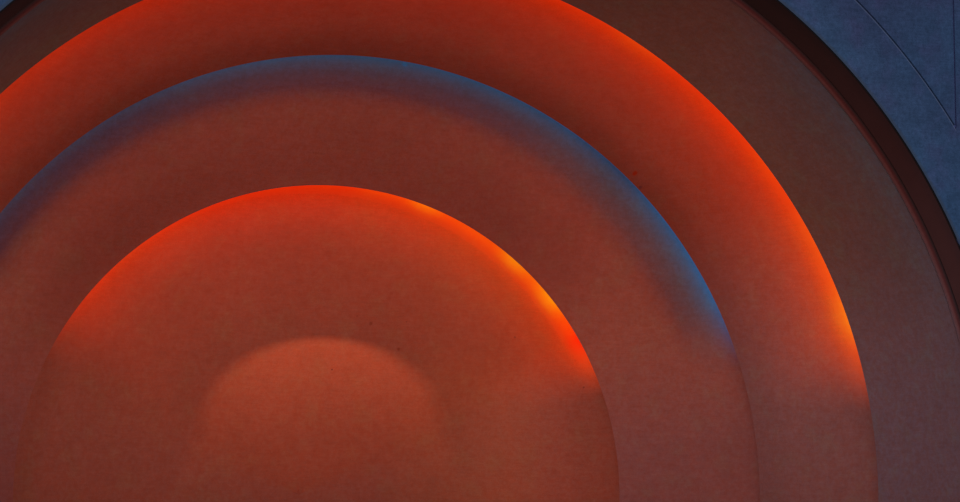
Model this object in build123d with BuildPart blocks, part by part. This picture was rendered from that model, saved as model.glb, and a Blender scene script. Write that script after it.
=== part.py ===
from build123d import *
from math import cos, hypot, radians, sin, sqrt
import os

os.makedirs("parts", exist_ok=True)

# Band shell: a flat stuccoed front wall with a round arch, and behind the arch three
# stepped plaster rings and a half-dome apse, all on a raised stage.
# Millimetres. +X is to the right as seen by the audience, +Y goes into the shell and
# +Z is up. The origin is on the ground under the middle of the footprint.
# A "depth" is measured into the shell from the front wall's face, and a "radius" from
# the arch axis, which runs level along Y at the springing height.

# Stage
stage_height = 900            # ground to stage floor
slab_thickness = 150
slab_overhang = 40            # slab edge beyond the walls under it
base_wall_thickness = 300
apron_depth = 4600            # stage floor in front of the front wall
floor_ledge = 115             # shell floor beyond the furthest corner of the rings

# Front wall
arch_radius = 6400            # round opening in the face
stilt_height = 680            # straight wall between the stage floor and the springing
pier_width = 1800             # face beside the opening
front_thickness = 600
head_margin = 900             # top of the centre bay above the curved groove
parapet_step = 600            # the wings stop this much lower than the centre bay
crown_half_width = 1900       # middle piece of the head

# Grooves cut in the face: one concentric with the arch, and one upright each side
groove_offset = 637           # curved groove outside the opening
bay_inset = 630               # upright grooves inside the springing points
groove_width = 20
groove_depth = 20

# Coping
coping_overhang = 45
coping_edge = 60
coping_crown = 95             # the top falls both ways from its middle

# Splayed dark band and round bead inside the opening
band_set_in = 80              # radius lost across the splay
band_depth = 340
band_quirk = 14               # the splay starts this far behind the face
band_land = 12
joint_width = 16              # open dark joint between the band and the bead
bead_radius = 55
ring_set_back = 16            # outer ring's face outside the bead's nose

# Rings: how far each lip comes in from the one before it, and how far behind it lies
outer_set_in = 291
outer_lip_depth = 2176
middle_set_in = 806
middle_reach = 1498
inner_set_in = 1370
inner_reach = 1248
apse_reach = 1638             # inner ring's lip to the pole of the half-dome
ring_thickness = 150
ring_curve = 6400             # radius that each ring's face follows in section

# Coves: each ring starts outside and in front of the lip before it
cove_gap = 290                # width of the lamp trough at its floor
cove_overlap = 200            # trough floor in front of the lip
bulkhead_thickness = 60
lamp_pitch = 10               # degrees from lamp to lamp round the arch axis
outer_row_sweep = 140         # degrees from the first lamp to the last
back_row_sweep = 120          # degrees, in the two rows behind
lamp_radius = 50
lamp_length = 110
lamp_taper = 8
lamp_clearance = 20           # to the ring that hides the row

# Fit
seat_gap = 0.3                # between curved faces that bear on each other
side_sweep = 60               # degrees of each ring in its side pieces

springing_height = stage_height + stilt_height
wall_top = stage_height - slab_thickness
half_width = arch_radius + pier_width
bay_half_width = arch_radius - bay_inset
groove_radius = arch_radius + groove_offset
groove_meeting = springing_height + sqrt(groove_radius ** 2 - bay_half_width ** 2)
centre_top = springing_height + groove_radius + head_margin
wing_top = centre_top - parapet_step
seat_radius = arch_radius - seat_gap


class WallCurve:
    """A curved wall in section: an inner face that is an arc, and a parallel outer one."""

    def __init__(self, centre_radius, centre_depth, curve_radius):
        self.centre_radius = centre_radius
        self.centre_depth = centre_depth
        self.curve_radius = curve_radius

    def radius_at(self, depth, outside=0):
        rise = (self.curve_radius + outside) ** 2 - (depth - self.centre_depth) ** 2
        return self.centre_radius + sqrt(rise)

    def outer_radius_at(self, depth):
        return self.radius_at(depth, ring_thickness)


class RingWall(WallCurve):
    """A ring between its front edge and its lip."""

    def __init__(self, front_radius, front_depth, lip_radius, lip_depth):
        chord = hypot(front_radius - lip_radius, lip_depth - front_depth)
        to_centre = sqrt(ring_curve ** 2 - (chord / 2) ** 2)
        outward_radius = (lip_depth - front_depth) / chord
        outward_depth = (front_radius - lip_radius) / chord
        middle_radius = (front_radius + lip_radius) / 2
        middle_depth = (front_depth + lip_depth) / 2
        super().__init__(
            middle_radius - outward_radius * to_centre,
            middle_depth - outward_depth * to_centre,
            ring_curve,
        )
        self.front_radius = front_radius
        self.front_depth = front_depth
        self.lip_radius = lip_radius
        self.lip_depth = lip_depth
        grow = (ring_curve + ring_thickness) / ring_curve
        self.outer_lip_radius = self.centre_radius + (lip_radius - self.centre_radius) * grow
        self.outer_lip_depth = self.centre_depth + (lip_depth - self.centre_depth) * grow


class ApseWall(WallCurve):
    """The half-dome: a cap whose centre lies on the arch axis."""

    def __init__(self, front_radius, front_depth, pole_depth):
        rise = pole_depth - front_depth
        curve_radius = (front_radius ** 2 + rise ** 2) / (2 * rise)
        super().__init__(0, pole_depth - curve_radius, curve_radius)
        self.front_radius = front_radius
        self.front_depth = front_depth
        self.pole_depth = pole_depth


def front_behind(ring):
    """Front edge of the wall behind a ring, one trough outside and in front of its lip."""
    front_depth = ring.lip_depth - cove_overlap
    return ring.outer_radius_at(front_depth) + cove_gap, front_depth


# Sizes along the chain from the opening to the pole
joint_depth = band_depth + joint_width
bead_depth = joint_depth + 2 * bead_radius
splay_radius = arch_radius - band_set_in
outer_front_radius = splay_radius - bead_radius + ring_set_back
outer_lip_radius = outer_front_radius - outer_set_in
outer_ring = RingWall(outer_front_radius, bead_depth, outer_lip_radius, outer_lip_depth)

middle_lip_radius = outer_lip_radius - middle_set_in
middle_lip_depth = outer_lip_depth + middle_reach
middle_ring = RingWall(*front_behind(outer_ring), middle_lip_radius, middle_lip_depth)

inner_lip_radius = middle_lip_radius - inner_set_in
inner_lip_depth = middle_lip_depth + inner_reach
inner_ring = RingWall(*front_behind(middle_ring), inner_lip_radius, inner_lip_depth)

apse = ApseWall(*front_behind(inner_ring), inner_lip_depth + apse_reach)

# Plan of the base: round behind the front wall, and just larger than the rings
shell_reach = max(
    hypot(wall.outer_radius_at(wall.front_depth), wall.front_depth)
    for wall in (middle_ring, inner_ring, apse)
)
base_radius = max(shell_reach, apse.pole_depth + ring_thickness) + floor_ledge
front_y = (apron_depth - base_radius) / 2
back_y = front_y + front_thickness

arch_axis = Axis((0, front_y, springing_height), (0, -1, 0))
plan_axis = Axis((0, front_y, 0), (0, 0, 1))
face_plane = Plane.XZ.offset(-front_y)


def arch_plane(angle):
    """Plane through the arch axis: local x is the radius and local y is global Y."""
    turn = radians(angle)
    return Plane(
        origin=(0, 0, springing_height),
        x_dir=(cos(turn), 0, sin(turn)),
        z_dir=(-sin(turn), 0, cos(turn)),
    )


def section_point(radius, depth):
    return (radius, front_y + depth)


def mirrored(part):
    """The same piece on the other side of the stage."""
    with BuildPart() as twin:
        mirror(part, about=Plane.YZ)
    return twin


def save(piece, name):
    piece.part.label = name
    export_step(piece.part, f"parts/{name}.step")


def save_pair(right_piece, name):
    save(right_piece, f"{name}_right")
    save(mirrored(right_piece.part), f"{name}_left")


# Front wall

def face_block(left, right, bottom, top):
    """Part of the front wall between two uprights and two levels, cut by the arch."""
    with BuildPart() as block:
        with BuildSketch(face_plane):
            with Locations(((left + right) / 2, (bottom + top) / 2)):
                Rectangle(right - left, top - bottom)
            with Locations((0, springing_height)):
                Circle(arch_radius, mode=Mode.SUBTRACT)
            with Locations((0, stage_height)):
                Rectangle(
                    2 * arch_radius,
                    stilt_height,
                    align=(Align.CENTER, Align.MIN),
                    mode=Mode.SUBTRACT,
                )
        extrude(amount=-front_thickness)
        with BuildSketch(face_plane):
            with Locations((0, springing_height)):
                Circle(groove_radius + groove_width / 2)
                Circle(groove_radius - groove_width / 2, mode=Mode.SUBTRACT)
            Rectangle(2 * bay_half_width, 2 * centre_top, mode=Mode.INTERSECT)
            with Locations((bay_half_width, groove_meeting), (-bay_half_width, groove_meeting)):
                Rectangle(groove_width, centre_top, align=(Align.CENTER, Align.MIN))
        extrude(amount=-groove_depth, mode=Mode.SUBTRACT)
    return block


save_pair(face_block(bay_half_width, half_width, stage_height, wing_top), "front_wing")
save_pair(face_block(crown_half_width, bay_half_width, springing_height, centre_top), "front_head")
save(face_block(-crown_half_width, crown_half_width, springing_height, centre_top), "front_crown")


# Coping

def coping(left, right, level):
    """Cap with a top that falls both ways, laid on the front wall."""
    with BuildPart() as cap:
        with BuildSketch(Plane.YZ.offset(left)):
            with BuildLine():
                Polyline(
                    (front_y - coping_overhang, level),
                    (back_y + coping_overhang, level),
                    (back_y + coping_overhang, level + coping_edge),
                    ((front_y + back_y) / 2, level + coping_crown),
                    (front_y - coping_overhang, level + coping_edge),
                    close=True,
                )
            make_face()
        extrude(amount=right - left)
    return cap


save_pair(coping(bay_half_width, half_width + coping_overhang, wing_top), "wing_coping")
save(
    coping(-bay_half_width - coping_overhang, bay_half_width + coping_overhang, centre_top),
    "centre_coping",
)


# Splayed band round the opening

def band_segment(start_angle, sweep, stands):
    """Dark splay that lines the front of the opening."""
    with BuildPart() as band:
        with BuildSketch(arch_plane(start_angle)) as section:
            with BuildLine():
                Polyline(
                    section_point(seat_radius, band_quirk),
                    section_point(arch_radius - band_land, band_quirk),
                    section_point(splay_radius, band_depth),
                    section_point(seat_radius, band_depth),
                    close=True,
                )
            make_face()
        revolve(axis=arch_axis, revolution_arc=sweep)
        if stands:
            extrude(section.sketch, amount=-stilt_height)
    return band


save_pair(band_segment(0, side_sweep, True), "arch_band")
save(band_segment(side_sweep, 180 - 2 * side_sweep, False), "arch_band_crown")


# Round bead behind the joint

with BuildPart() as arch_bead:
    with BuildSketch(arch_plane(0)) as bead_section:
        with BuildLine():
            Polyline(
                section_point(splay_radius, joint_depth),
                section_point(seat_radius, joint_depth),
                section_point(seat_radius, bead_depth),
                section_point(splay_radius, bead_depth),
            )
            ThreePointArc(
                section_point(splay_radius, bead_depth),
                section_point(splay_radius - bead_radius, joint_depth + bead_radius),
                section_point(splay_radius, joint_depth),
            )
        make_face()
    revolve(axis=arch_axis, revolution_arc=180)
    extrude(bead_section.sketch, amount=-stilt_height)
    mirror(about=Plane.YZ)

save(arch_bead, "arch_bead")


# Rings

def ring_segment(ring, start_angle, sweep, stands, collar):
    """Piece of a ring. A collar thickens its front edge to fill the opening."""
    middle_depth = (ring.front_depth + ring.lip_depth) / 2
    outer_middle = (collar + ring.outer_lip_depth) / 2
    with BuildPart() as segment:
        with BuildSketch(arch_plane(start_angle)) as section:
            with BuildLine():
                ThreePointArc(
                    section_point(ring.front_radius, ring.front_depth),
                    section_point(ring.radius_at(middle_depth), middle_depth),
                    section_point(ring.lip_radius, ring.lip_depth),
                )
                Line(
                    section_point(ring.lip_radius, ring.lip_depth),
                    section_point(ring.outer_lip_radius, ring.outer_lip_depth),
                )
                ThreePointArc(
                    section_point(ring.outer_lip_radius, ring.outer_lip_depth),
                    section_point(ring.outer_radius_at(outer_middle), outer_middle),
                    section_point(ring.outer_radius_at(collar), collar),
                )
                if collar > ring.front_depth:
                    Polyline(
                        section_point(ring.outer_radius_at(collar), collar),
                        section_point(seat_radius, collar),
                        section_point(seat_radius, ring.front_depth),
                        section_point(ring.front_radius, ring.front_depth),
                    )
                else:
                    Line(
                        section_point(ring.outer_radius_at(collar), collar),
                        section_point(ring.front_radius, ring.front_depth),
                    )
            make_face()
        revolve(axis=arch_axis, revolution_arc=sweep)
        if stands:
            extrude(section.sketch, amount=-stilt_height)
    return segment


for ring, name, collar in (
    (outer_ring, "outer_ring", front_thickness),
    (middle_ring, "middle_ring", middle_ring.front_depth),
    (inner_ring, "inner_ring", inner_ring.front_depth),
):
    save_pair(ring_segment(ring, 0, side_sweep, True, collar), name)
    save(ring_segment(ring, side_sweep, 180 - 2 * side_sweep, False, collar), f"{name}_crown")


# Apse

def apse_segment(start_angle, sweep, stands):
    """Gore of the half-dome, from its front edge to the pole."""
    inner_middle = apse.centre_depth + apse.curve_radius * cos(radians(20))
    outer_middle = apse.centre_depth + (apse.curve_radius + ring_thickness) * cos(radians(20))
    outer_pole = apse.pole_depth + ring_thickness
    with BuildPart() as gore:
        with BuildSketch(arch_plane(start_angle)) as section:
            with BuildLine():
                ThreePointArc(
                    section_point(apse.front_radius, apse.front_depth),
                    section_point(apse.radius_at(inner_middle), inner_middle),
                    section_point(0, apse.pole_depth),
                )
                Line(section_point(0, apse.pole_depth), section_point(0, outer_pole))
                ThreePointArc(
                    section_point(0, outer_pole),
                    section_point(apse.outer_radius_at(outer_middle), outer_middle),
                    section_point(apse.outer_radius_at(apse.front_depth), apse.front_depth),
                )
                Line(
                    section_point(apse.outer_radius_at(apse.front_depth), apse.front_depth),
                    section_point(apse.front_radius, apse.front_depth),
                )
            make_face()
        revolve(axis=arch_axis, revolution_arc=sweep)
        if stands:
            extrude(section.sketch, amount=-stilt_height)
    return gore


save_pair(apse_segment(0, side_sweep, True), "apse")
save(apse_segment(side_sweep, 180 - 2 * side_sweep, False), "apse_crown")


# Coves: the trough floor that joins a ring to the wall behind it, and its lamps

def cove_bulkhead(ring, wall):
    """Trough floor: it bears on the ring's outer face and carries the wall behind."""
    far = wall.front_depth
    near = far - bulkhead_thickness
    middle = (near + far) / 2
    clear_of_ring = ring_thickness + seat_gap
    with BuildPart() as bulkhead:
        with BuildSketch(arch_plane(0)) as section:
            with BuildLine():
                Polyline(
                    section_point(ring.radius_at(near, clear_of_ring), near),
                    section_point(wall.outer_radius_at(far), near),
                    section_point(wall.outer_radius_at(far), far),
                    section_point(ring.radius_at(far, clear_of_ring), far),
                )
                ThreePointArc(
                    section_point(ring.radius_at(far, clear_of_ring), far),
                    section_point(ring.radius_at(middle, clear_of_ring), middle),
                    section_point(ring.radius_at(near, clear_of_ring), near),
                )
            make_face()
        revolve(axis=arch_axis, revolution_arc=180)
        extrude(section.sketch, amount=-stilt_height)
        mirror(about=Plane.YZ)
    return bulkhead


def cove_lamps(ring, wall, sweep):
    """Lamp cans on the trough floor, hidden by the ring and aimed at the wall behind."""
    row_radius = ring.outer_radius_at(wall.front_depth) + lamp_clearance + lamp_radius
    count = round(sweep / lamp_pitch) + 1
    first_angle = 90 - sweep / 2
    floor_plane = Plane(
        origin=(0, front_y + wall.front_depth, springing_height),
        x_dir=(-1, 0, 0),
        z_dir=(0, 1, 0),
    )
    with BuildPart() as lamps:
        with BuildSketch(floor_plane):
            with PolarLocations(row_radius, count, first_angle, sweep, endpoint=True):
                RegularPolygon(lamp_radius, 8)
        extrude(amount=lamp_length, taper=lamp_taper)
    return lamps


for ring, wall, sweep, name in (
    (outer_ring, middle_ring, outer_row_sweep, "outer_cove"),
    (middle_ring, inner_ring, back_row_sweep, "middle_cove"),
    (inner_ring, apse, back_row_sweep, "inner_cove"),
):
    save(cove_bulkhead(ring, wall), f"{name}_bulkhead")
    save(cove_lamps(ring, wall, sweep), f"{name}_lamps")


# Stage floor

with BuildPart() as apron_slab:
    with BuildSketch(Plane.XY.offset(wall_top)):
        with Locations((0, front_y - apron_depth)):
            Rectangle(
                2 * (half_width + slab_overhang),
                apron_depth + front_thickness,
                align=(Align.CENTER, Align.MIN),
            )
    extrude(amount=slab_thickness)

with BuildPart() as shell_floor:
    with BuildSketch(Plane.XY.offset(wall_top)):
        with Locations((0, front_y)):
            Circle(base_radius)
        with Locations((0, back_y)):
            Rectangle(
                2 * base_radius,
                2 * base_radius,
                align=(Align.CENTER, Align.MIN),
                mode=Mode.INTERSECT,
            )
    extrude(amount=slab_thickness)

save(apron_slab, "apron_slab")
save(shell_floor, "shell_floor")


# Walls under the stage floor

def base_block(width, length, centre_x, near_y):
    with BuildPart() as block:
        with BuildSketch(Plane.XY):
            with Locations((centre_x, near_y)):
                Rectangle(width, length, align=(Align.CENTER, Align.MIN))
        extrude(amount=wall_top)
    return block


stage_front_y = front_y - apron_depth + slab_overhang
side_wall_start = stage_front_y + base_wall_thickness
save(base_block(2 * half_width, base_wall_thickness, 0, stage_front_y), "stage_front_wall")
save(base_block(2 * half_width, front_thickness, 0, front_y), "front_foundation")
save_pair(
    base_block(
        base_wall_thickness,
        front_y - side_wall_start,
        half_width - base_wall_thickness / 2,
        side_wall_start,
    ),
    "stage_side_wall",
)


def round_wall_segment(start_angle, sweep):
    """Piece of the round wall under the shell floor."""
    outer_radius = base_radius - slab_overhang
    turn = radians(start_angle)
    section_plane = Plane(
        origin=(0, front_y, 0),
        x_dir=(cos(turn), sin(turn), 0),
        z_dir=(sin(turn), -cos(turn), 0),
    )
    with BuildPart() as segment:
        with BuildSketch(section_plane):
            with Locations((outer_radius, 0)):
                Rectangle(base_wall_thickness, wall_top, align=(Align.MAX, Align.MIN))
        revolve(axis=plan_axis, revolution_arc=sweep)
        split(bisect_by=Plane.XZ.offset(-back_y), keep=Keep.BOTTOM)
    return segment


save_pair(round_wall_segment(0, side_sweep), "shell_base_wall")
save(round_wall_segment(side_sweep, 180 - 2 * side_sweep), "shell_base_wall_rear")
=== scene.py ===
import math

import bmesh
import bpy
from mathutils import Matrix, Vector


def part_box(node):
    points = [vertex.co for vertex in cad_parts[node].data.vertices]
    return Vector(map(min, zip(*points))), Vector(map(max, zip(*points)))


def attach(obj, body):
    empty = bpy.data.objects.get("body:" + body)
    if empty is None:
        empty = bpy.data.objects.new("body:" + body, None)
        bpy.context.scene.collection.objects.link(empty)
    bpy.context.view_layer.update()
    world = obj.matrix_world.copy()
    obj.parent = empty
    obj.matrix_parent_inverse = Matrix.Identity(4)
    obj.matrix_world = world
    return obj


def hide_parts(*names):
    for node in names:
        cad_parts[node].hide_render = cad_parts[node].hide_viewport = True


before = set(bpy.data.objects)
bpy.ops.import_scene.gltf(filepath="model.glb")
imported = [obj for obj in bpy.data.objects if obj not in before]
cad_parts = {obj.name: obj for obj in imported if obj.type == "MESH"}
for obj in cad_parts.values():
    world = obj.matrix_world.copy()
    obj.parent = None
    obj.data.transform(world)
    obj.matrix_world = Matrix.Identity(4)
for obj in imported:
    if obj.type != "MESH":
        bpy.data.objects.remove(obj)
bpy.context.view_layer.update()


# Walls under the stage
# Cast concrete walls on the ground, as high as the stage. They carry its floor and the
# front wall, and the round ones follow the rings in plan. The marks of the boards show.

def srgb(red, green, blue):
    """A paint as seen, 0 to 255, in the linear values that a shader takes."""
    def linear(level):
        level = level / 255
        return level / 12.92 if level <= 0.04045 else ((level + 0.055) / 1.055) ** 2.4
    return (linear(red), linear(green), linear(blue), 1.0)


class Finish:
    """A surface finish under construction, with its origin at a point of the building."""

    def __init__(self, name, origin=(0, 0, 0), roughness=0.85, shine=0.03):
        self.material = bpy.data.materials.new(name)
        self.material.use_nodes = True
        self.tree = self.material.node_tree
        self.tree.nodes.clear()
        output = self.node("ShaderNodeOutputMaterial")
        self.shader = self.node("ShaderNodeBsdfPrincipled")
        self.shader.inputs["Roughness"].default_value = roughness
        self.shader.inputs["Specular IOR Level"].default_value = shine
        self.tree.links.new(self.shader.outputs["BSDF"], output.inputs["Surface"])
        self.material.cycles.emission_sampling = "NONE"
        coordinates = self.node("ShaderNodeTexCoord")
        place = self.node("ShaderNodeMapping")
        place.inputs["Location"].default_value = [-value for value in origin]
        self.tree.links.new(coordinates.outputs["Object"], place.inputs["Vector"])
        self.place = place.outputs["Vector"]
        split = self.node("ShaderNodeSeparateXYZ")
        self.tree.links.new(self.place, split.inputs["Vector"])
        self.x, self.y, self.z = (split.outputs[axis] for axis in "XYZ")

    def node(self, kind, **settings):
        made = self.tree.nodes.new(kind)
        for name, value in settings.items():
            setattr(made, name, value)
        return made

    def feed(self, socket, value):
        if isinstance(value, bpy.types.NodeSocket):
            self.tree.links.new(value, socket)
        else:
            socket.default_value = value

    def math(self, operation, first, second=0.0):
        made = self.node("ShaderNodeMath", operation=operation)
        self.feed(made.inputs[0], first)
        self.feed(made.inputs[1], second)
        return made.outputs["Value"]

    def product(self, level, *others):
        """Levels times one another, so that it is high only where all of them are."""
        for other in others:
            level = self.math("MULTIPLY", level, other)
        return level

    def span(self, value, low, high, smooth=True):
        """0 at low and 1 at high."""
        made = self.node("ShaderNodeMapRange")
        made.interpolation_type = "SMOOTHSTEP" if smooth else "LINEAR"
        self.feed(made.inputs["Value"], value)
        made.inputs["From Min"].default_value = low
        made.inputs["From Max"].default_value = high
        return made.outputs["Result"]

    def mix(self, amount, first, second, blend="MIX"):
        made = self.node("ShaderNodeMix", data_type="RGBA", blend_type=blend)
        self.feed(made.inputs["Factor"], amount)
        self.feed(made.inputs[6], first)
        self.feed(made.inputs[7], second)
        return made.outputs[2]

    def tinge(self, amount, colour, tint):
        """The colour, times a tint of red, green and blue where the amount is high."""
        return self.mix(amount, colour, (*tint, 1), "MULTIPLY")

    def noise(self, scale, detail=4.0, roughness=0.55, stretch=None):
        """Cloudy pattern from 0 to 1; stretch squeezes it along the axes."""
        made = self.node("ShaderNodeTexNoise")
        made.inputs["Scale"].default_value = scale
        made.inputs["Detail"].default_value = detail
        made.inputs["Roughness"].default_value = roughness
        vector = self.place
        if stretch:
            mapping = self.node("ShaderNodeMapping")
            mapping.inputs["Scale"].default_value = stretch
            self.tree.links.new(vector, mapping.inputs["Vector"])
            vector = mapping.outputs["Vector"]
        self.tree.links.new(vector, made.inputs["Vector"])
        return made.outputs["Fac"]

    def ramp(self, value, low, high, stops, interpolation="LINEAR"):
        """Colours or levels along a value. Stops are (place, colour or level)."""
        made = self.node("ShaderNodeValToRGB")
        made.color_ramp.interpolation = interpolation
        elements = made.color_ramp.elements
        while len(elements) < len(stops):
            elements.new(0.5)
        for element, (place, colour) in zip(elements, stops):
            element.position = (place - low) / (high - low)
        for element, (place, colour) in zip(elements, stops):
            element.color = colour if isinstance(colour, tuple) else (colour,) * 3 + (1,)
        along = self.span(value, low, high, smooth=False)
        self.tree.links.new(along, made.inputs["Fac"])
        return made.outputs["Color"]

    def uneven(self, colour, scale, amount, detail=4.0, stretch=None):
        """The colour, lighter and darker in patches."""
        level = self.node("ShaderNodeMapRange")
        self.feed(level.inputs["Value"], self.noise(scale, detail, stretch=stretch))
        level.inputs["From Min"].default_value = 0.25
        level.inputs["From Max"].default_value = 0.75
        level.inputs["To Min"].default_value = 1 - amount
        level.inputs["To Max"].default_value = 1 + amount
        return self.mix(1.0, colour, self.grey(level.outputs["Result"]), "MULTIPLY")

    def grey(self, level):
        """A level as a colour."""
        made = self.node("ShaderNodeCombineColor")
        for channel in ("Red", "Green", "Blue"):
            self.feed(made.inputs[channel], level)
        return made.outputs["Color"]

    def relief(self, *layers):
        """Bumps added up: (height from 0 to 1, real height in metres)."""
        normal = None
        for height, metres in layers:
            made = self.node("ShaderNodeBump")
            made.inputs["Distance"].default_value = metres
            self.feed(made.inputs["Height"], height)
            if normal is not None:
                self.tree.links.new(normal, made.inputs["Normal"])
            normal = made.outputs["Normal"]
        self.tree.links.new(normal, self.shader.inputs["Normal"])

    def colour(self, value):
        self.feed(self.shader.inputs["Base Color"], value)

    def on(self, *names):
        """Paint CAD nodes, which stay where they are."""
        for name in names:
            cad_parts[name].data.materials[0] = self.material


BOARD_HEIGHT = 0.15
DAMP_HEIGHT = 0.32


def board_marked_concrete():
    finish = Finish("board_marked_concrete", roughness=0.9)
    damp = finish.span(finish.z, DAMP_HEIGHT, 0.0)
    grey = finish.mix(damp, srgb(101, 104, 112), srgb(66, 68, 72))
    streaks = finish.noise(1.0, 5.0, stretch=(5.0, 5.0, 0.35))
    grey = finish.mix(finish.span(streaks, 0.52, 0.75), grey, srgb(78, 80, 86))
    grey = finish.uneven(grey, 2.2, 0.12)
    finish.colour(finish.uneven(grey, 90.0, 0.07, 2.0))
    board = finish.math("FRACT", finish.math("DIVIDE", finish.z, BOARD_HEIGHT))
    joint = finish.math("ABSOLUTE", finish.math("SUBTRACT", board, 0.5))
    ridge = finish.span(joint, 0.47, 0.5)
    grain = finish.noise(1.0, 6.0, stretch=(3.0, 3.0, 60.0))
    grit = finish.noise(120.0, 3.0)
    finish.relief((ridge, 0.004), (grain, 0.003), (grit, 0.001))
    return finish


board_marked_concrete().on(
    "stage_front_wall",
    "stage_side_wall_left",
    "stage_side_wall_right",
    "front_foundation",
    "shell_base_wall_left",
    "shell_base_wall_right",
    "shell_base_wall_rear",
)


# Stage floor
# Float-finished concrete slabs laid on the base walls, sawn into bays so that they crack
# where they should. Traffic has worn them in patches, and grime lies in the saw cuts.

BAY = 2.74
SAW_CUT = 0.008


def floated_concrete():
    finish = Finish("floated_concrete", roughness=0.8)
    wear = finish.span(finish.noise(0.5, 3.0), 0.4, 0.7)
    grey = finish.mix(wear, srgb(112, 110, 110), srgb(131, 128, 126))
    grey = finish.uneven(grey, 6.0, 0.09)
    cuts = []
    for across in (finish.x, finish.y):
        bay = finish.math("FRACT", finish.math("DIVIDE", across, BAY))
        middle = finish.math("ABSOLUTE", finish.math("SUBTRACT", bay, 0.5))
        cuts.append(finish.span(middle, SAW_CUT / BAY, 0.0))
    cut = finish.math("MAXIMUM", cuts[0], cuts[1])
    grey = finish.mix(cut, grey, srgb(52, 50, 49))
    finish.colour(finish.uneven(grey, 140.0, 0.08, 2.0))
    depth = finish.math("SUBTRACT", 1.0, cut)
    float_marks = finish.noise(9.0, 5.0)
    sand = finish.noise(160.0, 2.0)
    finish.relief((depth, 0.006), (float_marks, 0.002), (sand, 0.0008))
    return finish


floated_concrete().on("apron_slab", "shell_floor")


# Front wall
# A flat wall in dusk-blue sand stucco with a round opening. Two kinds of shallow groove
# were cut in the stucco: one follows the opening, and one runs up each side to the top.

FACE_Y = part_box("front_crown")[0][1]
SPRINGING_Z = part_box("arch_bead")[1][2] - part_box("arch_bead")[1][0]
ARCH_CENTRE = (0.0, FACE_Y, SPRINGING_Z)
OPENING_RADIUS = 6.4
CURVED_GROOVE = 7.037       # its radius
UPRIGHT_GROOVE = 5.77       # its distance from the middle of the wall
FACE_BLUE = srgb(34, 50, 75)
RAIN_DIRT = srgb(23, 31, 47)


def from_arch_axis(finish):
    """Distance from the axis of the arch, or from its middle plane below the springing."""
    height = finish.math("MAXIMUM", finish.z, 0.0)
    squares = [finish.product(reach, reach) for reach in (finish.x, height)]
    return finish.math("SQRT", finish.math("ADD", *squares))


def sand_stucco(finish, paint):
    """The blue coat that the front wall and the backs of the rings share."""
    cloud = finish.span(finish.noise(0.45, 4.0), 0.35, 0.7)
    coat = finish.mix(cloud, paint, srgb(35, 44, 68))
    purple = finish.span(finish.noise(3.0, 4.0), 0.45, 0.7)
    coat = finish.tinge(purple, coat, (1.24, 0.95, 1.02))
    coat = finish.uneven(coat, 5.0, 0.19, 5.0)
    coat = finish.uneven(coat, 22.0, 0.22, 4.0)
    coat = finish.uneven(coat, 1.0, 0.11, 3.0, stretch=(5.0, 5.0, 60.0))
    return finish.uneven(coat, 60.0, 0.16, 3.0)


def front_stucco():
    finish = Finish("front_stucco", ARCH_CENTRE, 0.88)
    coat = sand_stucco(finish, FACE_BLUE)
    radius = from_arch_axis(finish)
    on_face = finish.span(finish.y, 0.3, 0.1)
    beside_arch = finish.span(radius, OPENING_RADIUS + 0.6, OPENING_RADIUS)
    beside_arch = finish.product(beside_arch, on_face)
    coat = finish.tinge(beside_arch, coat, (1.20, 1.26, 1.20))
    low = finish.product(beside_arch, finish.span(finish.z, 4.6, 2.6))
    coat = finish.tinge(low, coat, (0.82, 0.84, 0.88))
    # Painted shade along the arris of the opening.
    arris_painted_shade = finish.span(radius, OPENING_RADIUS + 0.05, OPENING_RADIUS + 0.01)
    coat = finish.mix(finish.product(arris_painted_shade, 0.6), coat, srgb(42, 46, 55))
    # Painted shadow on the stucco's return into the opening.
    reveal_painted_shade = finish.product(
        finish.span(radius, OPENING_RADIUS + 0.006, OPENING_RADIUS + 0.001),
        finish.span(finish.y, 0.001, 0.003),
    )
    coat = finish.mix(reveal_painted_shade, coat, srgb(20, 17, 19))
    aside = finish.math("ABSOLUTE", finish.x)
    # Painted highlight: the grooves' lower edges lit from above.
    groove_painted_highlight = finish.product(
        finish.span(radius, CURVED_GROOVE - 0.021, CURVED_GROOVE - 0.016),
        finish.span(radius, CURVED_GROOVE - 0.009, CURVED_GROOVE - 0.011),
        finish.span(aside, UPRIGHT_GROOVE + 0.004, UPRIGHT_GROOVE),
        on_face,
    )
    coat = finish.mix(finish.product(groove_painted_highlight, 0.42), coat, srgb(78, 84, 106))
    # Painted light lifting the shade inside the upright grooves.
    off_groove = finish.math("ABSOLUTE", finish.math("SUBTRACT", aside, UPRIGHT_GROOVE))
    groove_painted_light = finish.product(
        finish.span(off_groove, 0.013, 0.011),
        finish.span(finish.y, 0.002, 0.005),
        finish.span(finish.y, 0.05, 0.03),
    )
    coat = finish.mix(groove_painted_light, coat, srgb(50, 56, 92))
    rain = finish.noise(1.0, 4.0, stretch=(7.0, 7.0, 0.25))
    streaks = finish.product(finish.span(rain, 0.5, 0.72), finish.span(finish.z, 5.8, 7.9))
    finish.colour(finish.mix(finish.product(streaks, 0.5), coat, RAIN_DIRT))
    waves = finish.noise(1.6, 3.0)
    sand = finish.noise(55.0, 5.0, 0.6)
    finish.relief((waves, 0.006), (sand, 0.0025), (finish.noise(260.0, 2.0), 0.001))
    return finish


front_stucco().on(
    "front_wing_left", "front_wing_right", "front_head_left", "front_head_right", "front_crown"
)


# Copings
# Cast caps bedded on top of the front wall. Their tops fall both ways so that rain runs
# off, and they are painted with the wall but hold more dirt.

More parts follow.
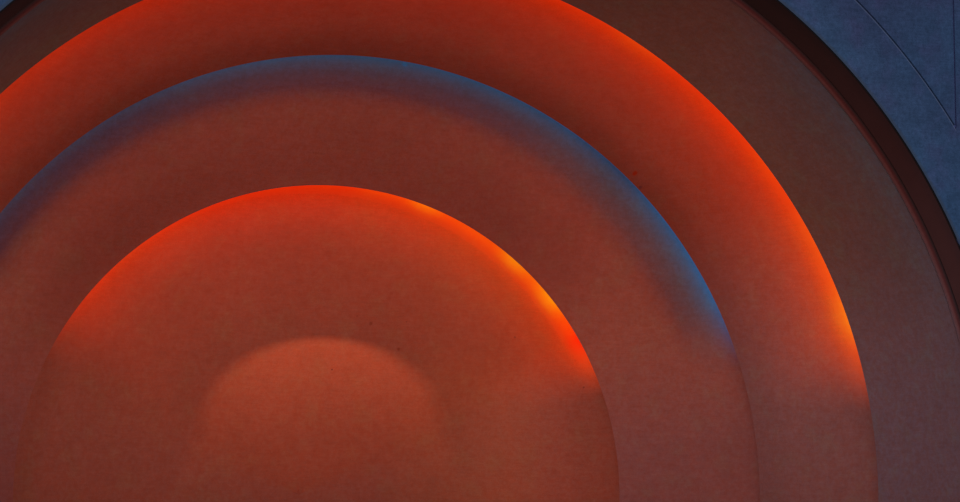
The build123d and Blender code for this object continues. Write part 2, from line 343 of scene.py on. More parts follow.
def coping_finish():
    finish = Finish("coping_paint", roughness=0.75)
    dirt = finish.span(finish.noise(1.3, 4.0), 0.4, 0.7)
    coat = finish.mix(dirt, srgb(52, 66, 92), srgb(40, 50, 68))
    finish.colour(finish.uneven(coat, 70.0, 0.08, 3.0))
    finish.relief((finish.noise(14.0, 4.0), 0.002), (finish.noise(200.0, 2.0), 0.0008))
    return finish


coping_finish().on("wing_coping_left", "wing_coping_right", "centre_coping")


# Splayed band
# The plaster reveal of the opening, splayed inwards and painted dark brown. It stops at
# an open joint, so that it can move apart from the rings.

BAND_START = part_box("arch_band_crown")[0][1] - FACE_Y


def band_finish():
    finish = Finish("band_paint", ARCH_CENTRE, 0.8)
    upwards = [
        (0.0, srgb(66, 41, 42)), (2.5, srgb(62, 36, 36)), (3.8, srgb(54, 28, 27)),
        (5.2, srgb(41, 22, 20)),
    ]
    coat = finish.ramp(finish.z, 0.0, OPENING_RADIUS, upwards)
    coat = finish.uneven(coat, 3.0, 0.08)
    coat = finish.uneven(coat, 70.0, 0.08, 3.0)
    near_face = finish.span(finish.y, BAND_START + 0.16, BAND_START)
    coat = finish.tinge(near_face, coat, (0.80, 0.92, 0.98))
    # Painted shadow line along the band's front edge.
    edge = finish.span(finish.y, BAND_START + 0.012, BAND_START + 0.003)
    finish.colour(finish.mix(edge, coat, srgb(20, 15, 16)))
    finish.relief((finish.noise(3.0, 3.0), 0.003), (finish.noise(90.0, 4.0), 0.001))
    return finish


band_finish().on("arch_band_left", "arch_band_crown", "arch_band_right")


# Round bead
# A run plaster moulding with a round nose on the front edge of the outer ring, painted a
# redder brown than the band beside it.

BEAD_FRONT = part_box("arch_bead")[0][1] - FACE_Y
BEAD_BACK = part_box("arch_bead")[1][1] - FACE_Y


def bead_finish():
    finish = Finish("bead_paint", ARCH_CENTRE, 0.7)
    # Painted shading of the round nose: darkest at the joint with the band, lighter towards
    # the ring, where it also lifts the shade in the crease.
    inwards = [
        (BEAD_FRONT, srgb(36, 19, 18)), (BEAD_FRONT + 0.003, srgb(48, 22, 21)),
        (BEAD_FRONT + 0.007, srgb(54, 20, 19)), (BEAD_FRONT + 0.014, srgb(60, 22, 20)),
        (BEAD_FRONT + 0.022, srgb(73, 32, 30)), (BEAD_FRONT + 0.030, srgb(79, 39, 36)),
        (BEAD_FRONT + 0.045, srgb(84, 45, 43)), (BEAD_FRONT + 0.080, srgb(106, 66, 66)),
    ]
    coat = finish.ramp(finish.y, BEAD_FRONT, BEAD_BACK, inwards)
    low = finish.span(finish.z, 4.1, 0.5)
    coat = finish.tinge(low, coat, (1.35, 2.2, 2.7))
    finish.colour(finish.uneven(coat, 30.0, 0.1, 3.0))
    finish.relief((finish.noise(40.0, 4.0), 0.001))
    return finish


bead_finish().on("arch_bead")


# Stepped rings
# Trowelled plaster rings, one inside the other. Each starts in a hidden cove of coloured
# lamps; their wash on its near edge is painted light, in the colour and as a glow from the
# plaster itself, and it fades towards its own lip. The backs of the rings wear the same blue
# stucco as the front wall.

class RingFinish(Finish):
    """Plaster inside, with the wash of a row of lamps painted on, and stucco on the back. Its
    angle runs from the right-hand springing over the top, 0 to 180, and its rise up from both,
    0 to 90. Its y is the depth behind the face of the front wall."""

    def __init__(self, name, roughness=0.82, shine=0.03):
        super().__init__(name, ARCH_CENTRE, roughness, shine)
        height = self.math("MAXIMUM", self.z, 0.0)
        turn = self.math("ARCTAN2", height, self.x)
        self.angle = self.product(turn, 180 / math.pi)
        turn = self.math("ARCTAN2", height, self.math("ABSOLUTE", self.x))
        self.rise = self.product(turn, 180 / math.pi)

    def is_back(self):
        """1 on the faces that look away from the stage."""
        facing = self.node("ShaderNodeNewGeometry")
        outwards = self.node("ShaderNodeVectorMath", operation="DOT_PRODUCT")
        self.tree.links.new(facing.outputs["True Normal"], outwards.inputs[0])
        self.tree.links.new(self.place, outwards.inputs[1])
        return self.math("GREATER_THAN", outwards.outputs["Value"], 0.0)

    def finish_plaster(self, coat, glow=None):
        """Trowel marks and stains over the coat, the lamps' light as a painted glow, and the
        stucco back.
        """
        green = self.span(self.noise(3.5, 4.0), 0.48, 0.72)
        coat = self.tinge(green, coat, (0.94, 1.10, 1.04))
        coat = self.uneven(coat, 0.9, 0.05, 3.0)
        coat = self.uneven(coat, 7.0, 0.07, 5.0)
        patches = self.span(self.noise(18.0, 4.0), 0.3, 0.7)
        patches = self.mix(patches, (1.01, 0.90, 0.81, 1), (0.99, 1.08, 1.13, 1))
        coat = self.mix(1.0, coat, patches, "MULTIPLY")
        coat = self.uneven(coat, 1.0, 0.06, 3.0, stretch=(6.0, 6.0, 45.0))
        coat = self.uneven(coat, 75.0, 0.11, 3.0)
        back = self.is_back()
        stucco = sand_stucco(self, FACE_BLUE)
        rain = self.noise(1.0, 4.0, stretch=(5.0, 5.0, 0.3))
        streaks = self.product(self.span(rain, 0.5, 0.75), 0.55)
        stucco = self.mix(streaks, stucco, RAIN_DIRT)
        dust = self.product(self.span(self.noise(0.8, 5.0), 0.5, 0.8), 0.4)
        stucco = self.mix(dust, stucco, srgb(60, 70, 88))
        self.colour(self.mix(back, coat, stucco))
        # Painted glow: the inner face of the plaster emits the lamps' light, though it is no
        # lamp.
        if glow is not None:
            glow = self.mix(back, glow, (0, 0, 0, 1))
            self.feed(self.shader.inputs["Emission Color"], glow)
            self.shader.inputs["Emission Strength"].default_value = 1.0
        waves = self.noise(2.2, 3.0)
        trowel = self.noise(14.0, 4.0)
        grit = self.noise(65.0, 5.0, 0.6)
        self.relief((waves, 0.005), (trowel, 0.0012), (grit, 0.001))


# Depths of the ring's front edge and lip, between which its colours change
OUTER_RING = (0.3, 2.2)


def outer_ring_finish():
    finish = RingFinish("outer_ring_plaster")
    # Painted light: blue-grey near the front edge from the dusk, redder deeper in from the
    # lamps.
    inwards = [
        (0.45, srgb(87, 70, 74)), (0.68, srgb(91, 68, 70)), (1.0, srgb(95, 63, 60)),
        (1.5, srgb(100, 60, 55)), (2.0, srgb(104, 60, 51)),
    ]
    coat = finish.ramp(finish.y, *OUTER_RING, inwards)
    # Painted twilight: pinker and lighter low down.
    low = finish.span(finish.rise, 34.0, 6.0)
    coat = finish.mix(finish.product(low, 0.85), coat, srgb(105, 76, 84))
    # Painted warm spill of lamp light over the top.
    painted_warm_spill = finish.product(
        finish.span(finish.angle, 46.0, 60.0), finish.span(finish.angle, 104.0, 84.0)
    )
    coat = finish.mix(finish.product(painted_warm_spill, 0.8), coat, srgb(111, 60, 49))
    finish.finish_plaster(coat)
    return finish


outer_ring_finish().on("outer_ring_left", "outer_ring_crown", "outer_ring_right")


# The outer row's lamps, from the right-hand end over the top: gels from 0, red, to 1, amber,
# and levels. Away from its lamps each colour is the duller far one.
OUTER_GELS = [
    0.92, 0.28, 0.18, 0.04, 0.27, 0.03, 0.02, 0.0, 0.02, 0.0, 0.02, 0.06, 0.1, 0.25, 0.5,
]
OUTER_LEVELS = [
    1.0, 0.96, 1.0, 1.0, 1.18, 1.15, 1.1, 1.0, 1.0, 1.0, 1.0, 1.05, 1.05, 1.0, 1.0,
]
LAMP_PITCH = 10             # degrees
RED_GEL = (0.90, 0.012, 0.0006, 1)
AMBER_GEL = (1.0, 0.36, 0.0018, 1)
FAR_RED = (0.88, 0.030, 0.002, 1)
FAR_AMBER = (0.88, 0.110, 0.013, 1)


def first_lamp(lamps):
    """Angle of the right-hand lamp of a row, in degrees. Every row is centred on the top."""
    return (180 - LAMP_PITCH * (lamps - 1)) / 2


def along_lamps(finish, levels):
    """A level for each lamp of a row, and soft changes between them. It can't go over 1."""
    first = first_lamp(len(levels))
    stops = [(first + LAMP_PITCH * number, level) for number, level in enumerate(levels)]
    return finish.ramp(finish.angle, 0, 180, stops, "EASE")


def inwards_from_lip(finish, stops):
    """A level that follows the depth, from (depth, level) stops."""
    return finish.ramp(finish.y, stops[0][0], stops[-1][0], stops)


def painted_lamp_wash(finish, paint, gels, levels, ends, tint, light, closeness):
    """Paint with the light of red and amber lamps painted on, and a painted glow. Ends are the
    angles at which the row's light starts and is full, right then left. Tint and light are
    (depth, level) stops. The higher the closeness, the nearer to the lip the amber stays."""
    row = finish.product(
        finish.span(finish.angle, *ends[0]), finish.span(finish.angle, *ends[1])
    )
    painted_wash_share = finish.product(inwards_from_lip(finish, tint), row)
    lit = finish.product(inwards_from_lip(finish, light), row)
    # some levels are over 1, so they go in halved
    half_level = along_lamps(finish, [level / 2 for level in levels])
    lit = finish.product(lit, half_level, 2.0)
    around = (gels[max(at - 1, 0):at + 2] for at in range(len(gels)))
    blended = [sum(near) / len(near) for near in around]
    far = finish.mix(along_lamps(finish, blended), FAR_RED, FAR_AMBER)
    lamps_on = finish.math("SUBTRACT", finish.angle, first_lamp(len(gels)))
    lamp_turns = finish.product(lamps_on, 2 * math.pi / LAMP_PITCH)
    beside_lamp = finish.span(finish.math("COSINE", lamp_turns), -2.6, 1.0, smooth=False)
    near_lip = finish.math("POWER", painted_wash_share, closeness)
    amber = finish.product(along_lamps(finish, gels), beside_lamp, near_lip)
    gel = finish.mix(amber, RED_GEL, AMBER_GEL)
    wash = finish.mix(finish.math("POWER", painted_wash_share, 4.0), far, gel)
    glow = finish.mix(1.0, wash, finish.grey(lit), "MULTIPLY")
    # Painted red light: the paint turns deep red nearest the lamps.
    rim = finish.math("POWER", painted_wash_share, 2.5)
    paint = finish.tinge(rim, paint, (1.0, 0.12, 0.08))
    return finish.mix(painted_wash_share, paint, wash), glow


# Knocks near the middle ring's lip: angle, depth, size and colour
KNOCKS = (
    (48.6, 3.595, 0.036, srgb(124, 26, 10)),
    (46.6, 3.650, 0.026, srgb(92, 34, 31)),
)
LIP_RADIUS = 5.2


def mark(finish, coat, across, along, size, colour):
    """A small knock or stain, with its edge broken by the grain. Across and along are the
    distances from its middle."""
    squares = [finish.product(reach, reach) for reach in (across, along)]
    away = finish.math("SQRT", finish.math("ADD", *squares))
    edge = finish.math("ADD", away, finish.product(finish.noise(40.0), size))
    return finish.mix(finish.span(edge, 1.5 * size, 0.9 * size), coat, colour)


def lip_mark(finish, coat, angle, depth, size, colour, length=1.0):
    """A mark near a lip, drawn out along it where the length is over 1."""
    turn = finish.math("SUBTRACT", finish.angle, angle)
    across = finish.product(turn, math.radians(1) * LIP_RADIUS / length)
    along = finish.math("SUBTRACT", finish.y, depth)
    return mark(finish, coat, across, along, size, colour)


def middle_ring_finish():
    finish = RingFinish("middle_ring_plaster")
    # Painted twilight: pinker and lighter low down.
    low = finish.span(finish.rise, 42.0, 10.0)
    paint = finish.mix(low, srgb(125, 51, 38), srgb(123, 71, 68))
    # Painted shade: darker towards the lip, more so higher up.
    near_lip = finish.span(finish.y, 3.30, 3.66)
    high = finish.span(finish.rise, 18.0, 60.0)
    lip_shade_amount = finish.math("ADD", finish.product(high, 0.6), 0.4)
    paint = finish.tinge(finish.product(near_lip, lip_shade_amount), paint, (0.72, 0.68, 0.70))
    tint = [
        (1.95, 1.0), (2.38, 1.0), (2.50, 0.82), (2.63, 0.68), (2.76, 0.45), (2.89, 0.30),
        (3.01, 0.21), (3.14, 0.15), (3.27, 0.10), (3.40, 0.06), (3.52, 0.03), (3.70, 0.0),
    ]
    light = [
        (1.95, 0.8), (2.38, 0.8), (2.50, 0.68), (2.56, 0.50), (2.62, 0.31), (2.68, 0.20),
        (2.74, 0.13), (2.89, 0.08), (3.14, 0.04), (3.40, 0.015), (3.70, 0.0),
    ]
    ends = ((8.5, 20.0), (171.5, 160.0))
    coat, glow = painted_lamp_wash(
        finish, paint, OUTER_GELS, OUTER_LEVELS, ends, tint, light, closeness=0.5
    )
    for angle, depth, size, colour in KNOCKS:
        coat = lip_mark(finish, coat, angle, depth, size, colour)
    finish.finish_plaster(coat, glow)
    return finish


middle_ring_finish().on("middle_ring_left", "middle_ring_crown", "middle_ring_right")


# The middle row's blue lamps, from the right-hand end over the top, the depths between which
# their light is drawn, and a scrape in it: angle, depth and size
BLUE_LEVELS = [0.78, 0.62, 0.27, 0.52, 0.66, 0.72, 0.75, 0.75, 0.70, 0.34, 0.28, 0.35, 0.5]
INNER_RING = (3.4, 4.7)
SCRAPE = (82.8, 4.06, 0.022)


def inner_ring_finish():
    finish = RingFinish("inner_ring_plaster")
    # Painted twilight: pinker low down.
    upwards = [
        (8, srgb(133, 70, 65)), (28, srgb(146, 69, 55)), (48, srgb(141, 59, 46)),
        (62, srgb(136, 58, 46)), (90, srgb(130, 56, 44)),
    ]
    paint = finish.ramp(finish.rise, 0, 90, upwards)
    # Painted shade: darker deeper in, over the top and the left.
    top = finish.ramp(finish.angle, 0, 180, [(35, 0.0), (60, 1.0), (130, 1.0), (160, 0.4)])
    painted_shade_deep = finish.product(finish.span(finish.y, 4.45, 4.85), top)
    paint = finish.mix(painted_shade_deep, paint, srgb(121, 50, 39))
    # Painted light of the blue lamps, fading from the cove into the ring's own colour.
    inwards = [
        (3.45, srgb(28, 87, 177)), (3.85, srgb(47, 84, 137)), (4.00, srgb(70, 79, 113)),
        (4.06, srgb(80, 71, 92)), (4.12, srgb(86, 66, 77)), (4.20, srgb(100, 62, 66)),
        (4.30, srgb(114, 61, 59)), (4.42, srgb(131, 59, 50)),
    ]
    painted_blue_wash = finish.ramp(finish.y, *INNER_RING, inwards)
    # Painted shade on the blue wash just past the blue, over the top and the left.
    past_blue = [(4.03, 0.0), (4.18, 1.0), (4.28, 0.85), (4.46, 0.0)]
    past_blue = finish.ramp(finish.y, *INNER_RING, past_blue)
    painted_shade_far_side = finish.product(past_blue, finish.span(finish.angle, 48.0, 74.0))
    painted_blue_wash = finish.tinge(painted_shade_far_side, painted_blue_wash, (0.74, 0.68, 0.88))
    # The painted blue light reaches only above the low ends.
    cool = finish.ramp(finish.y, *INNER_RING, [(3.45, 1.0), (4.30, 1.0), (4.50, 0.0)])
    cool = finish.product(cool, finish.span(finish.rise, 16.0, 29.0))
    coat = finish.mix(cool, paint, painted_blue_wash)
    # Painted shade: darker on the left, except near its own lip.
    painted_shade_left = finish.product(
        finish.span(finish.angle, 92.0, 125.0), finish.span(finish.y, 4.7, 4.3)
    )
    coat = finish.tinge(painted_shade_left, coat, (0.87, 0.91, 0.96))
    coat = lip_mark(finish, coat, *SCRAPE, srgb(60, 86, 128), length=2.2)
    # Painted glow of the blue lamps on the plaster.
    light = [
        (3.45, (0.006, 0.14, 0.50, 1)), (3.90, (0.008, 0.095, 0.26, 1)),
        (4.00, (0.009, 0.072, 0.18, 1)), (4.05, (0.014, 0.045, 0.090, 1)),
        (4.11, (0.018, 0.024, 0.040, 1)), (4.18, (0.014, 0.010, 0.010, 1)),
        (4.30, (0, 0, 0, 1)),
    ]
    blue = finish.ramp(finish.y, *INNER_RING, light)
    level = along_lamps(finish, BLUE_LEVELS)
    level = finish.product(level, finish.span(finish.rise, 17.0, 29.0))
    glow = finish.mix(level, (0, 0, 0, 1), blue)
    finish.finish_plaster(coat, glow)
    return finish


inner_ring_finish().on("inner_ring_left", "inner_ring_crown", "inner_ring_right")


# Apse
# The half-dome at the back, in the same trowelled plaster. Its row has the most amber
# gels, and a soft pool of stage light is painted low on its back wall.

INNER_GELS = [0.0, 0.80, 0.76, 0.20, 0.62, 0.16, 0.08, 0.07, 0.04, 0.03, 0.33, 0.12, 0.05]
INNER_LEVELS = [1.0, 1.05, 1.05, 1.18, 1.32, 1.24, 1.24, 1.24, 1.22, 1.22, 1.2, 1.2, 1.2]
POOL_CENTRE = (0.25, 0.83)
POOL_REACH = (1.60, 1.20)
POOL_EDGE = 0.97
POOL_SOFTNESS = 0.46        # at its sides, and how much less at its top
TOP_SHARPNESS = 0.22
# Stains on the back wall: place across, place up from the springing, and size
STAINS = (
    (0.84, 2.22, 0.030), (1.23, 1.895, 0.026), (2.68, 2.055, 0.016), (0.375, 1.62, 0.014),
    (3.55, 1.40, 0.016), (1.30, 2.25, 0.012), (0.65, 2.31, 0.014),
)


def apse_finish():
    finish = RingFinish("apse_plaster")
    # Painted twilight: pinker low down.
    low = finish.span(finish.rise, 34.0, 10.0)
    paint = finish.mix(low, srgb(145, 64, 47), srgb(142, 67, 53))
    near_edge = finish.span(from_arch_axis(finish), 1.6, 3.2)
    right_end = finish.product(finish.span(finish.angle, 36.0, 20.0), near_edge)
    paint = finish.mix(right_end, paint, srgb(158, 74, 58))
    beside_pool = finish.product(
        finish.span(finish.x, 0.9, 1.8),
        finish.span(finish.z, 2.2, 1.4),
        finish.span(finish.x, 3.4, 2.6),
    )
    paint = finish.tinge(beside_pool, paint, (1.13, 1.16, 1.0))
    # Painted pool of stage light, soft at its sides, sharper at its top and fading downwards.
    up = finish.math("SUBTRACT", finish.z, POOL_CENTRE[1])
    up = finish.math("DIVIDE", up, POOL_REACH[1])
    wider_below = finish.math("MAXIMUM", finish.product(up, -0.6), 0.0)
    reach = finish.math("ADD", wider_below, POOL_REACH[0])
    across = finish.math("SUBTRACT", finish.x, POOL_CENTRE[0])
    across = finish.math("DIVIDE", across, reach)
    up = finish.math("MAXIMUM", up, 0.0)
    squares = [finish.math("POWER", way, 2.0) for way in (across, up)]
    out = finish.math("ADD", *squares)
    sharper = finish.math("POWER", finish.math("MINIMUM", up, 1.0), 4.0)
    sharper = finish.product(sharper, TOP_SHARPNESS)
    softness = finish.math("SUBTRACT", POOL_SOFTNESS, sharper)
    inside = finish.math("DIVIDE", finish.math("SUBTRACT", POOL_EDGE, out), softness)
    fading = [(0.0, 0.0), (0.7, 0.2), (1.2, 0.45), (1.6, 0.74), (2.0, 1.0)]
    fading = finish.ramp(finish.z, 0.0, 2.2, fading)
    pool = finish.product(finish.span(inside, -0.5, 0.5), fading)
    paint = finish.mix(pool, paint, srgb(203, 86, 56))
    tint = [
        (4.70, 1.0), (5.36, 1.0), (5.44, 0.88), (5.50, 0.63), (5.58, 0.40), (5.71, 0.235),
        (5.84, 0.125), (5.97, 0.065), (6.10, 0.035), (6.25, 0.0),
    ]
    light = [
        (4.70, 0.9), (5.30, 0.90), (5.38, 0.78), (5.42, 0.60), (5.46, 0.39), (5.50, 0.23),
        (5.54, 0.18), (5.60, 0.13), (5.71, 0.075), (5.84, 0.04), (6.25, 0.0),
    ]
    ends = ((18.0, 31.0), (156.0, 138.0))
    coat, glow = painted_lamp_wash(
        finish, paint, INNER_GELS, INNER_LEVELS, ends, tint, light, closeness=4.0
    )
    for x, z, size in STAINS:
        across = finish.math("SUBTRACT", finish.x, x)
        along = finish.math("SUBTRACT", finish.z, z)
        coat = mark(finish, coat, across, along, size, srgb(131, 53, 37))
    finish.finish_plaster(coat, glow)
    return finish


apse_finish().on("apse_left", "apse_crown", "apse_right")


# Cove troughs
# Rendered floors between one ring's back and the next ring's front edge. They carry the
# lamps and are never seen from in front, so they were left unpainted.

def trough_render():
    finish = Finish("trough_render", roughness=0.9)
    stain = finish.span(finish.noise(1.5, 4.0), 0.35, 0.7)
    coat = finish.mix(stain, srgb(70, 74, 84), srgb(56, 59, 68))
    finish.colour(finish.uneven(coat, 50.0, 0.1, 3.0))
    finish.relief((finish.noise(20.0, 5.0), 0.003), (finish.noise(180.0, 2.0), 0.001))
    return finish


trough_render().on("outer_cove_bulkhead", "middle_cove_bulkhead", "inner_cove_bulkhead")


# Cove lamps
# Spun steel cans screwed to the trough floors, hidden by the lip in front of them. Each
# has a rolled rim and a domed glass: red or amber in two rows, blue in the middle one.

CAN_RADIUS = 0.05
LAMP_SIDES = 24
BLUE_GLASS = (0.02, 0.16, 0.75, 1)
# Half sections, as (radius, height) points from axis to axis
CAN_PROFILE = [
    (0, 0), (0.034, 0), (0.036, 0.002), (0.036, 0.006), (0.034, 0.008), (0.020, 0.010),
    (0.018, 0.020), (0.022, 0.027), (0.039, 0.034), (0.043, 0.040), (0.044, 0.052),
    (0.0465, 0.054), (0.0465, 0.057), (0.044, 0.059), (0.044, 0.066), (0.0465, 0.068),
    (0.0465, 0.071), (0.044, 0.073), (0.044, 0.090), (0.048, 0.094), (0.050, 0.098),
    (0.050, 0.102), (0.048, 0.105), (0.045, 0.105), (0.043, 0.102), (0.042, 0.094),
    (0.040, 0.064), (0.024, 0.050), (0, 0.046),
]
GLASS_PROFILE = [
    (0, 0.088), (0.038, 0.088), (0.0415, 0.090), (0.0415, 0.094), (0.036, 0.1005),
    (0.026, 0.105), (0.014, 0.1075), (0, 0.1085),
]


def turned(name, profile, sides):
    """A solid turned about Y from a half section."""
    shape = bmesh.new()
    rows = []
    for radius, height in profile:
        if radius == 0:
            rows.append([shape.verts.new((0, height, 0))] * sides)
        else:
            row = []
            for side in range(sides):
                turn = 2 * math.pi * side / sides
                place = (radius * math.cos(turn), height, radius * math.sin(turn))
                row.append(shape.verts.new(place))
            rows.append(row)
    for low, high in zip(rows, rows[1:]):
        for side in range(sides):
            after = (side + 1) % sides
            corners = [low[side], high[side], high[after], low[after]]
            shape.faces.new(list(dict.fromkeys(corners)))
    bmesh.ops.recalc_face_normals(shape, faces=shape.faces)
    for face in shape.faces:
        face.smooth = True
    mesh = bpy.data.meshes.new(name)
    shape.to_mesh(mesh)
    shape.free()
    pattern = bpy.data.objects.new(name, mesh)
    bpy.context.scene.collection.objects.link(pattern)
    return pattern


def lamp_row_tree():
    """Copies of a pattern on an arc, with the sizes of the row as named inputs."""
    tree = bpy.data.node_groups.new("lamp_row", "GeometryNodeTree")
    sockets = {}
    for name, kind in (
        ("Pattern", "NodeSocketObject"),
        ("Finish", "NodeSocketMaterial"),
        ("Lamps", "NodeSocketInt"),
        ("First Angle", "NodeSocketFloat"),
        ("Pitch", "NodeSocketFloat"),
        ("Row Radius", "NodeSocketFloat"),
        ("Row Centre", "NodeSocketVector"),
    ):
        sockets[name] = tree.interface.new_socket(name=name, in_out="INPUT", socket_type=kind)
    tree.interface.new_socket(
        name="Geometry", in_out="OUTPUT", socket_type="NodeSocketGeometry"
    )
    given = tree.nodes.new("NodeGroupInput")
    result = tree.nodes.new("NodeGroupOutput")

    def link(source, target):
        tree.links.new(source, target)

    def calculate(operation, first, second=None):
        made = tree.nodes.new("ShaderNodeMath")
        made.operation = operation
        link(first, made.inputs[0])
        if second is not None:
            link(second, made.inputs[1])
        return made.outputs["Value"]

    line = tree.nodes.new("GeometryNodeMeshLine")
    link(given.outputs["Lamps"], line.inputs["Count"])
    index = tree.nodes.new("GeometryNodeInputIndex").outputs["Index"]
    turn = calculate("MULTIPLY", index, given.outputs["Pitch"])
    turn = calculate("ADD", given.outputs["First Angle"], turn)
    radius = given.outputs["Row Radius"]
    arc = tree.nodes.new("ShaderNodeCombineXYZ")
    link(calculate("MULTIPLY", radius, calculate("COSINE", turn)), arc.inputs["X"])
    link(calculate("MULTIPLY", radius, calculate("SINE", turn)), arc.inputs["Z"])
    place = tree.nodes.new("ShaderNodeVectorMath")
    link(arc.outputs["Vector"], place.inputs[0])
    link(given.outputs["Row Centre"], place.inputs[1])
    setting = tree.nodes.new("GeometryNodeSetPosition")
    link(line.outputs["Mesh"], setting.inputs["Geometry"])
    link(place.outputs["Vector"], setting.inputs["Position"])
    pattern = tree.nodes.new("GeometryNodeObjectInfo")
    link(given.outputs["Pattern"], pattern.inputs["Object"])
    copies = tree.nodes.new("GeometryNodeInstanceOnPoints")
    link(setting.outputs["Geometry"], copies.inputs["Points"])
    link(pattern.outputs["Geometry"], copies.inputs["Instance"])
    real = tree.nodes.new("GeometryNodeRealizeInstances")
    link(copies.outputs["Instances"], real.inputs["Geometry"])
    finished = tree.nodes.new("GeometryNodeSetMaterial")
    link(real.outputs["Geometry"], finished.inputs["Geometry"])
    link(given.outputs["Finish"], finished.inputs["Material"])
    link(finished.outputs["Geometry"], result.inputs["Geometry"])
    return tree, sockets


ROW_TREE, ROW_SOCKETS = lamp_row_tree()


def lamp_row(name, node, pattern, finish, lamps):
    """One part of every lamp in a row, on the trough floor where the CAD row stands."""
    low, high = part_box(node)
    holder = bpy.data.objects.new(name, bpy.data.meshes.new(name))
    bpy.context.scene.collection.objects.link(holder)
    row = holder.modifiers.new("row", "NODES")
    row.node_group = ROW_TREE
    sizes = {
        "Pattern": pattern,
        "Finish": finish,
        "Lamps": lamps,
        "First Angle": math.radians(first_lamp(lamps)),
        "Pitch": math.radians(LAMP_PITCH),
        "Row Radius": high[2] - CAN_RADIUS - SPRINGING_Z,
        "Row Centre": (0.0, low[1], SPRINGING_Z),
    }
    for label, size in sizes.items():
        row[ROW_SOCKETS[label].identifier] = size
    ready = holder.evaluated_get(bpy.context.evaluated_depsgraph_get())
    mesh = bpy.data.meshes.new_from_object(ready)
    mesh.name = name
    holder.modifiers.remove(row)
    holder.data = mesh
    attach(holder, "root")
    return holder


def can_enamel():
    finish = Finish("can_enamel", shine=0.4)
    dust = finish.span(finish.noise(30.0, 5.0), 0.45, 0.75)
    coat = finish.mix(dust, srgb(28, 28, 31), srgb(74, 70, 66))
    chips = finish.span(finish.noise(220.0, 4.0), 0.68, 0.74)
    finish.colour(finish.mix(chips, coat, srgb(112, 96, 84)))
    roughness = finish.math("ADD", finish.product(dust, 0.35), 0.35)
    finish.feed(finish.shader.inputs["Roughness"], roughness)
    finish.relief((finish.noise(160.0, 3.0), 0.0004))
    return finish.material


def lamp_glass(name, gels=None):
    """Coloured glass, lit from behind. Without gels it is blue."""
    finish = RingFinish(name, roughness=0.15, shine=0.5)
    colour = BLUE_GLASS
    if gels:
        colour = finish.mix(along_lamps(finish, gels), RED_GEL, AMBER_GEL)
    colour = finish.uneven(colour, 120.0, 0.15)
    finish.colour(colour)
    finish.feed(finish.shader.inputs["Emission Color"], colour)
    finish.shader.inputs["Emission Strength"].default_value = 1.0
    finish.relief((finish.noise(260.0, 2.0), 0.0006))
    return finish.material


CAN_PATTERN = turned("can_pattern", CAN_PROFILE, LAMP_SIDES)
GLASS_PATTERN = turned("glass_pattern", GLASS_PROFILE, LAMP_SIDES)
ENAMEL = can_enamel()

for cove, lamps, gels in (
    ("outer", len(OUTER_GELS), OUTER_GELS),
    ("middle", len(INNER_GELS), None),
    ("inner", len(INNER_GELS), INNER_GELS),
):
    node = f"{cove}_cove_lamps"
    cans = lamp_row(f"{cove}_lamp_cans", node, CAN_PATTERN, ENAMEL, lamps)
    coloured = lamp_glass(f"{cove}_glass", gels)
    glass = lamp_row(f"{cove}_lamp_glass", node, GLASS_PATTERN, coloured, lamps)
    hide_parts(node)

for pattern in (CAN_PATTERN, GLASS_PATTERN):
    bpy.data.objects.remove(pattern)


# Studio
# A plain pale floor under the building, soft light from in front and a pale room. The
# floor lets the low front light through, which fills the undersides of the rings.

FLOOR_REACH = 600.0
ROOM_LIGHT = 0.36           # on the building
ROOM_SEEN = 0.85            # behind it, and in what shines


def studio_floor():
    mesh = bpy.data.meshes.new("studio_floor")
    shape = bmesh.new()
    bmesh.ops.create_grid(shape, x_segments=2, y_segments=2, size=FLOOR_REACH)
    shape.to_mesh(mesh)
    shape.free()
    floor = bpy.data.objects.new("studio_floor", mesh)
    bpy.context.scene.collection.objects.link(floor)
    finish = Finish("studio_floor", roughness=0.9)
    finish.colour(finish.uneven((0.72, 0.72, 0.73, 1), 0.3, 0.02))
    mesh.materials.append(finish.material)
    floor.visible_shadow = False


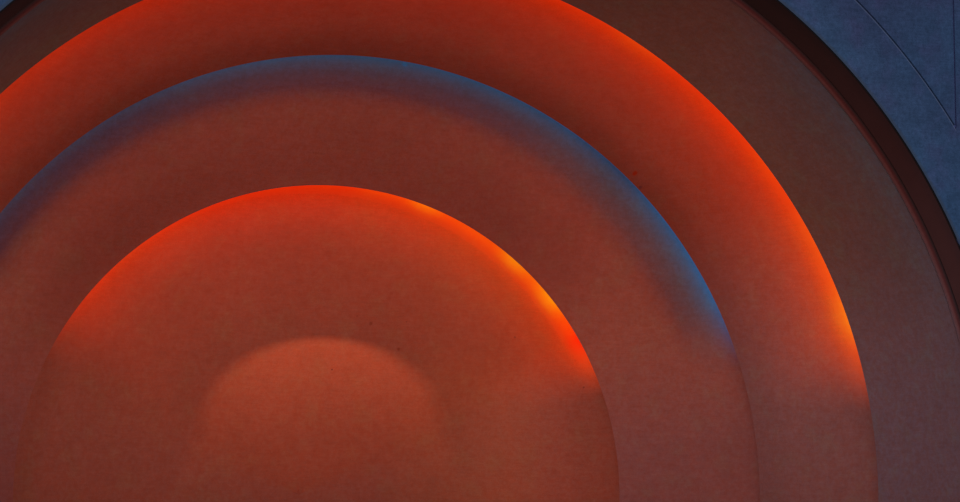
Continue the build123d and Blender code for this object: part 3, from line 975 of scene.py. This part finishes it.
def studio_light():
    sky = bpy.data.worlds.new("studio")
    sky.use_nodes = True
    tree = sky.node_tree
    background = tree.nodes["Background"]
    background.inputs["Color"].default_value = (0.96, 0.98, 1.0, 1)
    rays = tree.nodes.new("ShaderNodeLightPath")
    seen = rays.outputs["Is Camera Ray"]
    for kind in ("Is Glossy Ray", "Is Transmission Ray"):
        either = tree.nodes.new("ShaderNodeMath")
        either.operation = "MAXIMUM"
        tree.links.new(seen, either.inputs[0])
        tree.links.new(rays.outputs[kind], either.inputs[1])
        seen = either.outputs["Value"]
    strength = tree.nodes.new("ShaderNodeMapRange")
    strength.inputs["To Min"].default_value = ROOM_LIGHT
    strength.inputs["To Max"].default_value = ROOM_SEEN
    tree.links.new(seen, strength.inputs["Value"])
    tree.links.new(strength.outputs["Result"], background.inputs["Strength"])
    bpy.context.scene.world = sky
    for name, turn, lift, power in (
        ("far_left", -60, 5, 0.28),
        ("near_left", -30, 5, 0.24),
        ("right", 30, 5, 0.32),
        ("low_front", 0, -15, 0.20),
        ("rear", 155, 40, 0.45),
    ):
        lamp = bpy.data.lights.new(name, "SUN")
        lamp.energy = power * math.pi
        lamp.angle = math.radians(30)
        holder = bpy.data.objects.new(name, lamp)
        holder.rotation_euler = (math.radians(90 - lift), 0, math.radians(turn))
        bpy.context.scene.collection.objects.link(holder)


studio_floor()
studio_light()


# Camera
# The photograph was taken from in front and left of the middle, with the eye about level
# with the springing, looking to the right and slightly up.

EYE = (-6.272, FACE_Y - 18.88, SPRINGING_Z + 0.045)
TURN_RIGHT = 0.33145
LOOK_UP = 0.08525
IMAGE_WIDTH, IMAGE_HEIGHT = 960, 502
FOCAL_PIXELS = 2000
AXIS_ROW = 320
SENSOR_WIDTH = 36.0

lens = bpy.data.cameras.new("camera")
lens.sensor_width = SENSOR_WIDTH
lens.lens = FOCAL_PIXELS / IMAGE_WIDTH * SENSOR_WIDTH
lens.shift_y = (AXIS_ROW - IMAGE_HEIGHT / 2) / IMAGE_WIDTH
lens.clip_end = 2000.0      # past the floor's corners
camera = bpy.data.objects.new("camera", lens)
camera.location = EYE
camera.rotation_euler = (math.pi / 2 + LOOK_UP, 0, -TURN_RIGHT)
bpy.context.scene.collection.objects.link(camera)
bpy.context.scene.camera = camera
bpy.context.scene.view_settings.view_transform = "Standard"
